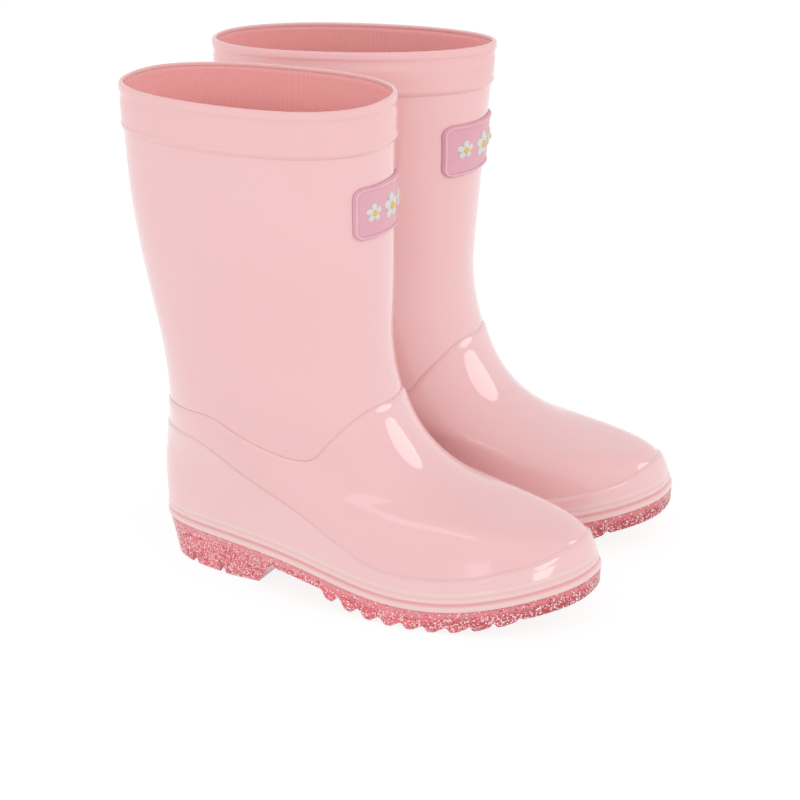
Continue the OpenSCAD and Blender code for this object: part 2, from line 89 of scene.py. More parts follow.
def fair_curve(values: Array, at: Array) -> Array:
    """Reads a curve of even curvature that runs through evenly spaced values.

    Args:
        values: The values, one for each whole step; rows are read together.
        at: The steps to read, from 0 to the last one.

    Returns:
        The curve at those steps.
    """
    v, at = np.asarray(values, float), np.asarray(at, float)
    n = len(v)
    weights, sums = np.eye(n), np.empty_like(v)
    sums[0], sums[-1] = v[1] - v[0], v[-1] - v[-2]
    for i in range(1, n - 1):
        weights[i, i - 1:i + 2] = 1, 4, 1
        sums[i] = 3 * (v[i + 1] - v[i - 1])
    slope = np.linalg.solve(weights, sums)
    i = np.clip(np.floor(at).astype(int), 0, n - 2)
    t = at - i
    t = t[..., None] if v.ndim > 1 else t
    u, w = t * t, t * t * t
    return ((2 * w - 3 * u + 1) * v[i] + (w - 2 * u + t) * slope[i]
            + (3 * u - 2 * w) * v[i + 1] + (w - u) * slope[i + 1])


def flowing(profile: Profile, share: int = 4) -> Array:
    """Rounds a cross-section's corners by a curve through its points.

    Args:
        profile: Points of the cross-section.
        share: Number of steps from one point to the next.

    Returns:
        The finer points, one row each.
    """
    p = np.array(profile, float)
    ends = np.vstack([p[0], p, p[-1]])
    t = np.linspace(0, 1, share, endpoint=False)[:, None]
    runs = []
    for a, b, c, d in zip(ends[:-3], ends[1:-2], ends[2:-1], ends[3:]):
        runs.append(0.5 * (2 * b + (c - a) * t + (2 * a - 5 * b + 4 * c - d) * t ** 2
                           + (3 * b - a - 3 * c + d) * t ** 3))
    return np.vstack(runs + [p[-1:]])


# The boot's form

class Side(Enum):
    """The two boots of the pair."""

    RIGHT = "right"
    LEFT = "left"

    @property
    def way(self) -> int:
        """Sign of the boot's place across the pair."""
        return 1 if self is Side.LEFT else -1


@dataclass
class BootForm:
    """The skin of one boot, blended through oval sections from the rim (0) to the feather line (7)."""

    side: Side
    mouth_len: float
    mouth_w: float
    mouth_egg: float
    mouth_lean: float
    mouth_n: float
    rim_back: float
    rim_h: float
    rim_dip: float
    lead: float = 0.0
    stance: float = 78.0
    toe_out: float = 3.35
    pivot_x: float = 70.0
    middle_x: float = 81.0263
    upper_x: float = 0.0
    upper_z: float = 0.0
    seat_in: float = 1.2
    foot_len: float = 173.6
    ball_w: float = 72.0
    heel_w: float = 57.6
    arch_in: float = 3.6
    toe_lean: float = 3.5
    vamp_slope: float = 0.22
    ball_p: float = 0.35
    waist_p: float = -0.15
    waist_reach: float = 0.35
    outer_hollow: float = 0.35
    feather_n: float = 2.35
    wall: float = 2.2
    lining_t: float = 1.2
    rim_share: float = 0.35
    thin_run: float = 17.0
    feather_line: tuple[float, ...] = (14.3, 16.6, 15.0, 9.5, 10.2, 18.5)
    galosh_line: tuple[float, ...] = (
        3.4, 3.4, 3.47, 3.65, 3.92, 4.22, 4.12, 3.83, 3.85, 3.95, 4.02, 4.05, 4.05)
    foxing_line: tuple[float, ...] = (
        6.1, 6.14, 6.31, 6.44, 6.54, 6.56, 6.27, 5.12, 4.56, 4.56, 4.66, 4.75, 4.78)

    @property
    def rows(self) -> Array:
        """The sections: x and z at back and front, half width, squareness, front widening, lean."""
        return np.array([
            [-self.rim_back, self.mouth_len - self.rim_back, self.rim_h - self.rim_dip, self.rim_h,
             self.mouth_w / 2, self.mouth_n, self.mouth_egg, self.mouth_lean],
            [-11, self.upper_x, self.upper_z - 2, self.upper_z, 32, 2.25, 0, 0],
            [-4.5, 92.1, 111, 113, 32.5, 2.2, 0, 0],
            [1.5, 92.5, 85, 87, 33, 2.15, 0, 0],
            [2.8, 105, 66, 56.6, 32.3, 2.2, 0, 0],
            [1.8, 136, 50, 38.8, 31.5, 2.25, 0, 0],
            [0, 168, 34, 33, 32.5, 2.3, 0, 0],
            [self.seat_in, self.seat_in + self.foot_len, self.feather_line[0], self.feather_line[-1],
             self.ball_w / 2, self.feather_n, 0, 0],
        ])

    def place_at(self, x: Array) -> Array:
        """Place along the foot, from -1 at the heel to 1 at the toe, of distance x."""
        return 2 * (np.asarray(x) - self.seat_in) / self.foot_len - 1

    def feather(self, p: Array) -> Array:
        """Height of the feather line at place p, from -1 at the heel to 1 at the toe."""
        return fair_curve(self.feather_line, clamp((p + 1) / 2) * 5)

    def feather_at(self, x: Array) -> Array:
        """Height of the feather line at distance x from the heel."""
        return self.feather(self.place_at(x))

    def tread_share(self, p: Array, q: Array) -> Array:
        """How much of the ball's width the tread has along the foot.

        Args:
            p: Place along the foot, from -1 at the heel to 1 at the toe.
            q: Place across it, less than 0 on the outer side.

        Returns:
            Shares of the ball's width.
        """
        ball, seat = self.ball_p, self.heel_w / self.ball_w
        taper = seat + (1 - seat) * (1 + np.cos(np.pi * (ball - p) / (ball + 1))) / 2
        hollow = np.where(q < 0, self.outer_hollow, 1) * 2 * self.arch_in / self.ball_w
        waist = np.exp(-((p - self.waist_p) / self.waist_reach) ** 2)
        return np.where(p > ball, 1, taper) - hollow * waist

    def vamp_share(self, s: Array, p: Array, q: Array) -> Array:
        """Share of the width that is left where the vamp's outer side leans in."""
        low = smooth((s - 3.3) / 1.2) * (1 - smooth(s - 6)) * smooth((p + 0.3) / 0.9)
        return np.where(q < 0, 1 - self.vamp_slope * low, 1)

    def skin(self, s: Array, a: Array) -> Array:
        """Points of the outer skin.

        Args:
            s: Sections, from 0 at the rim to 7 at the feather line.
            a: Angles round the boot, in radians, from 0 at the toe.

        Returns:
            Points, with the coordinates in the last place.
        """
        s, a = np.broadcast_arrays(np.asarray(s, float), np.asarray(a, float))
        r = fair_curve(self.rows, s)
        back, front, low, high, half, n, egg, side = (r[..., i] for i in range(8))
        p, q = signed_power(np.cos(a), 2 / n), signed_power(np.sin(a), 2 / n)
        k = smooth((s - 3) / 4)
        wide = (1 + egg * p) * (1 + k * (self.tread_share(p, q) - 1)) * self.vamp_share(s, p, q)
        lean = clamp((p + 0.2) / 1.2)
        heel, toe = self.feather_line[0], self.feather_line[-1]
        drop = heel + (toe - heel) * (p + 1) / 2 - self.feather(p)
        return np.stack([
            (back + front) / 2 + (front - back) / 2 * p,
            half * q * wide + side + k * self.toe_lean * lean * lean,
            (low + high) / 2 + (high - low) / 2 * p - clamp((s - 5) / 2) ** 2 * drop,
        ], -1)

    def outward(self, s: Array, a: Array) -> Array:
        """Unit directions out of the skin, laid along the feather line's rise towards the sole.

        Args:
            s: Sections.
            a: Angles round the boot, in radians.

        Returns:
            Directions, with the coordinates in the last place.
        """
        s, a = np.broadcast_arrays(np.asarray(s, float), np.asarray(a, float))
        e, turn = 0.02, math.radians(0.6)
        down = self.skin(np.minimum(s + e, FEATHER), a) - self.skin(np.maximum(s - e, 0), a)
        along = self.skin(s, a + turn) - self.skin(s, a - turn)
        n = np.cross(down, along)
        x = np.clip(self.skin(s, a)[..., 0], self.seat_in + 1, self.seat_in + self.foot_len - 1)
        rise = (self.feather_at(x + 1) - self.feather_at(x - 1)) / 2
        k = smooth((s - 5) / 2)
        n[..., 2] = n[..., 2] * (1 - k) + n[..., 0] * rise * k
        return n / np.linalg.norm(n, axis=-1, keepdims=True)

    def lifted(self, s: Array, a: Array, d: Array) -> Array:
        """Points at distance d outside the skin."""
        d = np.asarray(d, float)[..., None]
        return self.skin(s, a) + d * self.outward(s, a)

    def sideways(self, a: Array) -> Array:
        """Level unit directions out of the feather line."""
        out = self.outward(FEATHER, a)[:, :2]
        return out / np.linalg.norm(out, axis=1, keepdims=True)

    def thinned(self, runs: Array) -> Array:
        """Share of their thickness that the wall and the lining have at lengths below the rim."""
        return self.rim_share + (1 - self.rim_share) * smooth(np.asarray(runs) / self.thin_run)

    def line(self, steps: tuple[float, ...], a: Array) -> Array:
        """Sections of a layer's edge line that is given every 15 degrees from the toe to the heel."""
        turned = np.abs((np.degrees(a) + 180) % 360 - 180)
        return fair_curve(steps, turned / 15)

    def stand(self, points: Array) -> Array:
        """Puts points of the boot into the shared frame.

        Args:
            points: Points in the boot's own axes, in millimetres.

        Returns:
            Points in the shared frame, in metres.
        """
        way, turn = self.side.way, math.radians(self.toe_out) * self.side.way
        x = points[..., 0] - self.pivot_x
        y = points[..., 1] * -way
        return np.stack([
            self.pivot_x + self.lead - self.middle_x + x * math.cos(turn) - y * math.sin(turn),
            way * self.stance / 2 + x * math.sin(turn) + y * math.cos(turn),
            points[..., 2],
        ], -1) / 1000


class Meridians:
    """Lengths along the skin, down from the rim, for a set of columns round the boot."""

    def __init__(self, form: BootForm, angles: Array) -> None:
        """Measures the columns.

        Args:
            form: The boot's form.
            angles: Angle of each column, in radians.
        """
        self.form, self.angles = form, angles
        self.steps = np.linspace(0, FEATHER, 421)
        gaps = np.linalg.norm(np.diff(form.skin(self.steps[None], angles[:, None]), axis=1), axis=-1)
        self.runs = np.hstack([np.zeros((len(angles), 1)), np.cumsum(gaps, 1)])

    def run(self, s: Array) -> Array:
        """Length from the rim to one section in each column."""
        s = np.broadcast_to(s, self.angles.shape)
        return np.array([np.interp(v, self.steps, r) for v, r in zip(s, self.runs)])

    def points(self, runs: Array, d: Array) -> Array:
        """Points at the given lengths below the rim.

        Args:
            runs: Lengths, one row for each column.
            d: Distances outside the skin, for each row or for each point.

        Returns:
            Points by column and row.
        """
        s = np.array([np.interp(v, r, self.steps) for v, r in zip(runs, self.runs)])
        return self.form.lifted(s, self.angles[:, None], np.broadcast_to(d, s.shape))


# Meshes

@dataclass
class Sheet:
    """A grid of points by column and row, with the faces and the lay of a texture on it."""

    points: Array
    wrap_cols: bool = True
    wrap_rows: bool = True
    lay: Array | None = None
    marks: dict[str, Array] = field(default_factory=dict)
    extra: list[tuple[int, ...]] = field(default_factory=list)
    open_row: int = -1

    def index(self) -> tuple[Array, Array]:
        """Finds the corners of the faces, without the faces that start at the open row.

        Returns:
            Column and row of each corner, four to a face.
        """
        cols, rows = self.points.shape[:2]
        j, i = np.meshgrid(np.arange(cols if self.wrap_cols else cols - 1),
                           np.arange(rows if self.wrap_rows else rows - 1), indexing="ij")
        kept = i.ravel() != self.open_row
        j, i = j.ravel()[kept, None], i.ravel()[kept, None]
        return j + np.array([0, 0, 1, 1]), i + np.array([0, 1, 1, 0])


def floor_strips(columns: int, rows: int, first: int, last: int) -> list[tuple[int, ...]]:
    """Faces from side to side that close two rows of a sheet round the foot.

    Args:
        columns: Number of columns in the sheet.
        rows: Number of rows in the sheet.
        first: The row whose floor runs the way of the columns.
        last: The row whose floor runs the other way.

    Returns:
        The corners of each face.
    """
    strips = []
    for k in range(columns // 2):
        ring = (k, k + 1, columns - k - 1, (columns - k) % columns)
        for row, step in ((first, 1), (last, -1)):
            strips.append(tuple(dict.fromkeys(c * rows + row for c in ring))[::step])
    return strips


class MeshBench:
    """Turns sheets into Blender meshes in the shared frame."""

    def __init__(self, form: BootForm) -> None:
        """Keeps the boot that the meshes belong to."""
        self.form = form

    def make(self, name: str, sheets: list[Sheet]) -> bpy.types.Object:
        """Makes one object of one or more sheets.

        Args:
            name: Name of the piece.
            sheets: The sheets, in the boot's own axes.

        Returns:
            The linked object, with smooth faces.
        """
        verts, faces, lays, start = [], [], [], 0
        flip = self.form.side is Side.LEFT
        for sheet in sheets:
            cols, rows = sheet.points.shape[:2]
            j, i = sheet.index()
            quads = (j % cols) * rows + i % rows + start
            lay = np.zeros(quads.shape + (2,)) if sheet.lay is None else sheet.lay[j, i % rows]
            extra = [tuple(v + start for v in f) for f in sheet.extra]
            if flip:
                quads, lay = quads[:, ::-1], lay[:, ::-1]
                extra = [f[::-1] for f in extra]
            verts.append(self.form.stand(sheet.points).reshape(-1, 3))
            faces += quads.tolist() + extra
            lays += [lay.reshape(-1, 2), np.zeros((sum(map(len, extra)), 2))]
            start += cols * rows
        mesh = bpy.data.meshes.new(name)
        mesh.from_pydata(np.vstack(verts).tolist(), [], faces)
        mesh.uv_layers.new(name="lay").data.foreach_set("uv", np.vstack(lays).ravel())
        for key in sheets[0].marks:
            values = np.concatenate([np.asarray(s.marks[key], float).ravel() for s in sheets])
            mesh.attributes.new(key, "FLOAT", "POINT").data.foreach_set("value", values)
        mesh.validate(clean_customdata=False)
        mesh.shade_smooth()
        piece = bpy.data.objects.new(name, mesh)
        bpy.context.scene.collection.objects.link(piece)
        return piece


# Finishes

class NodeBench:
    """Lays shader nodes into one new material or world."""

    def __init__(self, name: str, world: bool = False) -> None:
        """Starts with nothing but the output.

        Args:
            name: Name of the material or world.
            world: Whether it is a world.
        """
        self.owner = (bpy.data.worlds if world else bpy.data.materials).new(name)
        self.owner.use_nodes = True
        self.tree = self.owner.node_tree
        self.tree.nodes.clear()
        self.end = self.add("OutputWorld" if world else "OutputMaterial")

    def add(self, kind: str, sockets: dict | None = None, **settings: object) -> bpy.types.Node:
        """Adds a node.

        Args:
            kind: The node's kind, without the word that all kinds start with.
            sockets: Values of its sockets, or the sockets that feed them.
            settings: The node's own settings.

        Returns:
            The new node.
        """
        node = self.tree.nodes.new("ShaderNode" + kind)
        for key, value in settings.items():
            setattr(node, key, value)
        for key, value in (sockets or {}).items():
            if isinstance(value, bpy.types.NodeSocket):
                self.tree.links.new(value, node.inputs[key])
            else:
                node.inputs[key].default_value = value
        return node

    def place(self) -> bpy.types.NodeSocket:
        """Place of a point in the boot's frame, in metres."""
        return self.add("TexCoord").outputs["Object"]

    def noise(self, scale: float, detail: float = 2.0) -> bpy.types.NodeSocket:
        """A soft random field of so many waves in a metre."""
        node = self.add("TexNoise", {"Vector": self.place(), "Scale": scale, "Detail": detail})
        return node.outputs["Fac"]

    def math(self, operation: str, a: object, b: object = 0.0, c: object = 0.0) -> bpy.types.NodeSocket:
        """One step of arithmetic on up to three values."""
        return self.add("Math", {0: a, 1: b, 2: c}, operation=operation).outputs[0]

    def vector(self, operation: str, sockets: dict) -> bpy.types.NodeSocket:
        """One step of arithmetic on directions."""
        return self.add("VectorMath", sockets, operation=operation).outputs[0]

    def span(self, value: bpy.types.NodeSocket, low: float, high: float, to_low: object = 0.0,
             to_high: object = 1.0) -> bpy.types.NodeSocket:
        """Takes a value from one span to another and holds it there."""
        ends = {"From Min": low, "From Max": high, "To Min": to_low, "To Max": to_high}
        return self.add("MapRange", {"Value": value, **ends}).outputs["Result"]

    def blend(self, share: object, a: object, b: object) -> bpy.types.NodeSocket:
        """Mixes two colours.

        Args:
            share: How much of the second colour shows.
            a: The first colour.
            b: The second colour.

        Returns:
            The mixed colour.
        """
        node = self.add("Mix", data_type="RGBA")
        for place, value in ((0, share), (6, a), (7, b)):
            if isinstance(value, bpy.types.NodeSocket):
                self.tree.links.new(value, node.inputs[place])
            else:
                node.inputs[place].default_value = (*value, 1) if isinstance(value, tuple) else value
        return node.outputs[2]

    def bump(self, height: bpy.types.NodeSocket, strength: float, depth: float,
             under: bpy.types.NodeSocket | None = None) -> bpy.types.NodeSocket:
        """Makes small relief from a height field.

        Args:
            height: The height field.
            strength: How much of the relief shows.
            depth: Its depth, in metres.
            under: The relief that it lies on.

        Returns:
            The turned normal.
        """
        sockets = {"Height": height, "Strength": strength, "Distance": depth}
        if under is not None:
            sockets["Normal"] = under
        return self.add("Bump", sockets).outputs["Normal"]

    def close(self, shader: bpy.types.Node) -> bpy.types.ID:
        """Ends the tree in a shader and hands over the material or world."""
        self.tree.links.new(shader.outputs[0], self.end.inputs["Surface"])
        return self.owner

    def surface(self, sockets: dict) -> bpy.types.Material:
        """Ends the material in one surface shader."""
        return self.close(self.add("BsdfPrincipled", sockets))


@dataclass(frozen=True)
class GlossPvc:
    """Moulded glossy vinyl with a slightly uneven, wet-looking skin, and a deeper pink painted as shade into
    the grooves that a piece marks.
    """

    name: str
    colour: Colour
    deep: Colour
    roughness: float = 0.09
    coat: float = 0.6
    waviness: float = 0.05
    # Deeper pink painted into marked grooves as shade
    hollow: Colour = (0.88, 0.40, 0.41)
    glow: float = 0.06
    glow_reach: Colour = (1.0, 0.4, 0.4)
    glow_depth: float = 0.0015

    def make(self) -> bpy.types.Material:
        """Builds the material.

        Returns:
            The material.
        """
        bench = NodeBench(self.name)
        cloud = bench.span(bench.noise(18.0, 3.0), 0.3, 0.7)
        grain = bench.bump(bench.noise(900.0), 0.04, 0.0002)
        swell = bench.bump(bench.noise(26.0, 1.0), self.waviness, 0.002, grain)
        rough = bench.span(bench.noise(70.0, 4.0), 0.3, 0.7, self.roughness * 0.8, self.roughness * 1.3)
        # Painted shade: the hollow mark blends the grooves towards the deeper pink
        hollow = bench.add("Attribute", attribute_name="hollow").outputs["Fac"]
        skin = bench.blend(cloud, self.colour, self.deep)
        return bench.surface({
            "Base Color": bench.blend(hollow, skin, self.hollow),
            "Roughness": rough, "Normal": swell, "IOR": 1.53, "Coat IOR": 1.5,
            "Coat Weight": self.coat, "Coat Roughness": self.roughness / 3,
            "Subsurface Weight": self.glow, "Subsurface Radius": self.glow_reach,
            "Subsurface Scale": self.glow_depth,
        })


@dataclass(frozen=True)
class GlitterPvc:
    """Clear coral vinyl with silver, rose and dark flecks, plainer under the welt and at the lugs, and paler
    under the welt as painted light.
    """

    name: str
    body: Colour = (0.88, 0.175, 0.205)
    # Paler coral under the welt: painted light falling on the top of the sole
    strip: Colour = (0.88, 0.30, 0.33)
    tip: Colour = (0.90, 0.33, 0.36)
    silver: Colour = (1.0, 0.91, 0.92)
    rose: Colour = (0.92, 0.46, 0.49)
    shade: Colour = (0.42, 0.035, 0.065)
    deep: Colour = (0.46, 0.045, 0.06)
    flecks: float = 1500.0
    fleck_sizes: tuple[float, float] = (0.25, 0.62)
    silver_share: float = 0.46
    pale_share: float = 0.68
    strip_share: float = 0.28
    tilt: float = 0.65
    toe_from: float = 0.03
    toe_to: float = 0.085
    toe_depth: float = 0.8

    def make(self) -> bpy.types.Material:
        """Builds the material.

        Returns:
            The material.
        """
        bench = NodeBench(self.name)
        drop = bench.add("Attribute", attribute_name="drop").outputs["Fac"]
        tip = bench.add("Attribute", attribute_name="tip").outputs["Fac"]
        wander = bench.span(bench.noise(420.0), 0.3, 0.7, -0.9, 0.9)
        low = bench.span(bench.math("ADD", drop, wander), 1.6, 3.6)
        cells = bench.add("TexVoronoi", {"Vector": bench.place(), "Scale": self.flecks, "Randomness": 1.0})
        parts = bench.add("SeparateColor", {"Color": cells.outputs["Color"]})
        pick, size = parts.outputs[0], parts.outputs[1]
        reach = bench.span(size, 0, 1, *self.fleck_sizes)
        inside = bench.math("LESS_THAN", cells.outputs["Distance"], reach)
        dense = bench.span(low, 0, 1, self.strip_share, 1.0)
        shown = bench.math("MULTIPLY", inside, bench.math("LESS_THAN", parts.outputs[2], dense))
        shown = bench.math("MULTIPLY", shown, bench.span(tip, 0.35, 0.9, 1.0, 0.25))
        # Painted light: the band just under the welt gets the paler strip colour, as lit from above; it also
        # has fewer flecks
        ground = bench.blend(low, self.strip, self.body)
        ground = bench.blend(bench.span(tip, 0.3, 0.9), ground, self.tip)
        along = bench.add("SeparateXYZ", {"Vector": bench.place()}).outputs[0]
        fore = bench.span(along, self.toe_from, self.toe_to, 0.0, self.toe_depth)
        fore = bench.math("MULTIPLY", fore, bench.span(low, 0, 1, 0.35, 1.0))
        ground = bench.blend(fore, ground, self.deep)
        fleck = bench.blend(bench.math("GREATER_THAN", pick, self.silver_share), self.silver, self.rose)
        fleck = bench.blend(bench.math("GREATER_THAN", pick, self.pale_share), fleck, self.shade)
        facet = bench.vector("SUBTRACT", {0: cells.outputs["Color"], 1: (0.5, 0.5, 0.5)})
        facet = bench.vector("SCALE", {0: facet, "Scale": self.tilt})
        facet = bench.vector("ADD", {0: facet, 1: bench.add("NewGeometry").outputs["Normal"]})
        return bench.surface({
            "Base Color": bench.blend(shown, ground, fleck), "Normal": bench.vector("NORMALIZE", {0: facet}),
            "Roughness": bench.span(shown, 0, 1, 0.24, 0.34), "IOR": 1.45,
            "Coat Weight": 0.25, "Coat Roughness": 0.1,
        })


@dataclass(frozen=True)
class RibKnit:
    """Fine vertical rib knit with a napped face, painted darker as shade where its relief sinks."""

    name: str
    colour: Colour
    # Colour painted where the relief sinks, as shade
    shade: Colour
    stitch: float = 0.9

    def make(self) -> bpy.types.Material:
        """Builds the material.

        Returns:
            The material.
        """
        bench = NodeBench(self.name)
        lay = bench.add("SeparateXYZ", {"Vector": bench.add("UVMap", uv_map="lay").outputs[0]})
        rib = bench.math("COSINE", bench.math("MULTIPLY", lay.outputs[0], 2 * math.pi))
        slant = bench.math("ADD", bench.math("MULTIPLY", lay.outputs[1], 2 * math.pi / self.stitch),
                           bench.math("MULTIPLY", rib, 0.9))
        loop = bench.math("SINE", slant)
        nap = bench.noise(2600.0, 3.0)
        height = bench.math("MULTIPLY_ADD", loop, 0.25, bench.math("MULTIPLY", nap, 0.8))
        # Painted shade: the colour follows the relief of ribs, stitches and nap, darker where it sinks
        share = bench.span(bench.math("MULTIPLY_ADD", loop, 0.25, rib), -1.2, 1.2)
        share = bench.math("MULTIPLY_ADD", nap, 0.3, bench.math("MULTIPLY", share, 0.75))
        return bench.surface({
            "Base Color": bench.blend(share, self.shade, self.colour), "Roughness": 0.9,
            "Normal": bench.bump(height, 0.35, 0.00025), "Sheen Weight": 0.35, "Sheen Roughness": 0.5,
            "Specular IOR Level": 0.25,
        })


@dataclass(frozen=True)
class OpenFoam:
    """Soft cut foam with small open cells, painted darker inside them as shade."""

    name: str
    colour: Colour = (0.80, 0.72, 0.66)
    # Colour painted at the bottom of the cells, as shade
    shade: Colour = (0.55, 0.44, 0.40)

    def make(self) -> bpy.types.Material:
        """Builds the material.

        Returns:
            The material.
        """
        bench = NodeBench(self.name)
        cells = bench.add("TexVoronoi", {"Vector": bench.place(), "Scale": 1100.0})
        # Painted shade: the cells' sunk middles get the darker colour
        wall = bench.span(cells.outputs["Distance"], 0.15, 0.55)
        return bench.surface({
            "Base Color": bench.blend(wall, self.shade, self.colour), "Roughness": 0.95,
            "Normal": bench.bump(wall, 0.6, 0.0003), "Specular IOR Level": 0.2,
        })


@dataclass(frozen=True)
class SoftRubber:
    """Satin moulded rubber of the badge, with a fine grain."""

    name: str
    colour: Colour
    deep: Colour
    roughness: float = 0.38

    def make(self) -> bpy.types.Material:
        """Builds the material.

        Returns:
            The material.
        """
        bench = NodeBench(self.name)
        cloud = bench.span(bench.noise(160.0, 3.0), 0.3, 0.7)
        rough = bench.span(bench.noise(500.0, 2.0), 0.3, 0.7, self.roughness * 0.85, self.roughness * 1.2)
        return bench.surface({
            "Base Color": bench.blend(cloud, self.colour, self.deep), "Roughness": rough,
            "Normal": bench.bump(bench.noise(2400.0, 2.0), 0.12, 0.0001), "IOR": 1.5,
        })


def finishes() -> dict[str, object]:
    """Lists the finishes.

    Returns:
        One for each material slot, a softer gloss for the top band and a paler one for the foxing.
    """
    return {
        "upper_pvc": GlossPvc("blush_gloss_pvc", (0.93, 0.572, 0.575), (0.92, 0.552, 0.557)),
        "soft_pvc": GlossPvc("blush_band_pvc", (0.93, 0.565, 0.562), (0.92, 0.545, 0.544), 0.2, 0.2),
        "foxing_pvc": GlossPvc("blush_foxing_pvc", (0.935, 0.605, 0.603), (0.925, 0.585, 0.584)),
        "welt_pvc": GlossPvc("blush_welt_pvc", (0.915, 0.665, 0.645), (0.905, 0.635, 0.615), 0.14, 0.4),
        "glitter_sole": GlitterPvc("coral_glitter_pvc"),
        "rib_knit": RibKnit("rose_rib_knit", (0.99, 0.505, 0.49), (0.985, 0.445, 0.435)),
        "insole_foam": OpenFoam("cream_foam"),
        "badge_mauve": SoftRubber("mauve_rubber", (0.80, 0.43, 0.50), (0.78, 0.40, 0.475)),
        "badge_pale": SoftRubber("pale_mauve_rubber", (0.84, 0.52, 0.585), (0.82, 0.49, 0.555)),
        "badge_white": SoftRubber("white_rubber", (0.76, 0.74, 0.72), (0.72, 0.70, 0.68)),
        "badge_yellow": SoftRubber("yellow_rubber", (0.80, 0.60, 0.16), (0.76, 0.54, 0.12)),
    }


# Sub-assemblies

@dataclass
class SubAssembly:
    """A group of pieces of one boot that are made and dressed together."""

    form: BootForm
    columns: int = 240
    pieces: dict[str, bpy.types.Object] = field(default_factory=dict, init=False)
    slots: dict[str, str] = field(default_factory=dict, init=False)
    bodies: dict[str, str] = field(default_factory=dict, init=False)
    coats: dict[str, str] = field(default_factory=dict, init=False)

    def angles(self) -> Array:
        """Angles of the columns round the boot."""
        return np.linspace(0, 2 * np.pi, self.columns, endpoint=False)

    def add(self, node: str, slot: str, sheets: list[Sheet], body: str = "boot", finish: str = "") -> None:
        """Makes one piece and notes what it stands for.

        Args:
            node: The solid that the piece stands for, without the side.
            slot: Its material slot.
            sheets: Its surfaces.
            body: The body it moves with, without the side.
            finish: Its finish, where that isn't the slot's own.
        """
        side = self.form.side.value
        self.pieces[node] = MeshBench(self.form).make(f"{side}_{node}_piece", sheets)
        self.slots[node], self.bodies[node], self.coats[node] = slot, f"{side}_{body}", finish or slot

    def build(self) -> None:
        """Makes the pieces."""
        raise NotImplementedError

    def dress(self, materials: dict[str, bpy.types.Material]) -> None:
        """Gives each piece its finish and its body, and hides the solid that it stands for.

        Args:
            materials: The finishes by slot.
        """
        for node, piece in self.pieces.items():
            piece.data.materials.append(materials[self.coats[node]])
            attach(piece, self.bodies[node])
            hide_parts(f"{self.form.side.value}_{node}")
            LOG.info("%s: %d faces, rides %s", piece.name, len(piece.data.polygons), self.bodies[node])


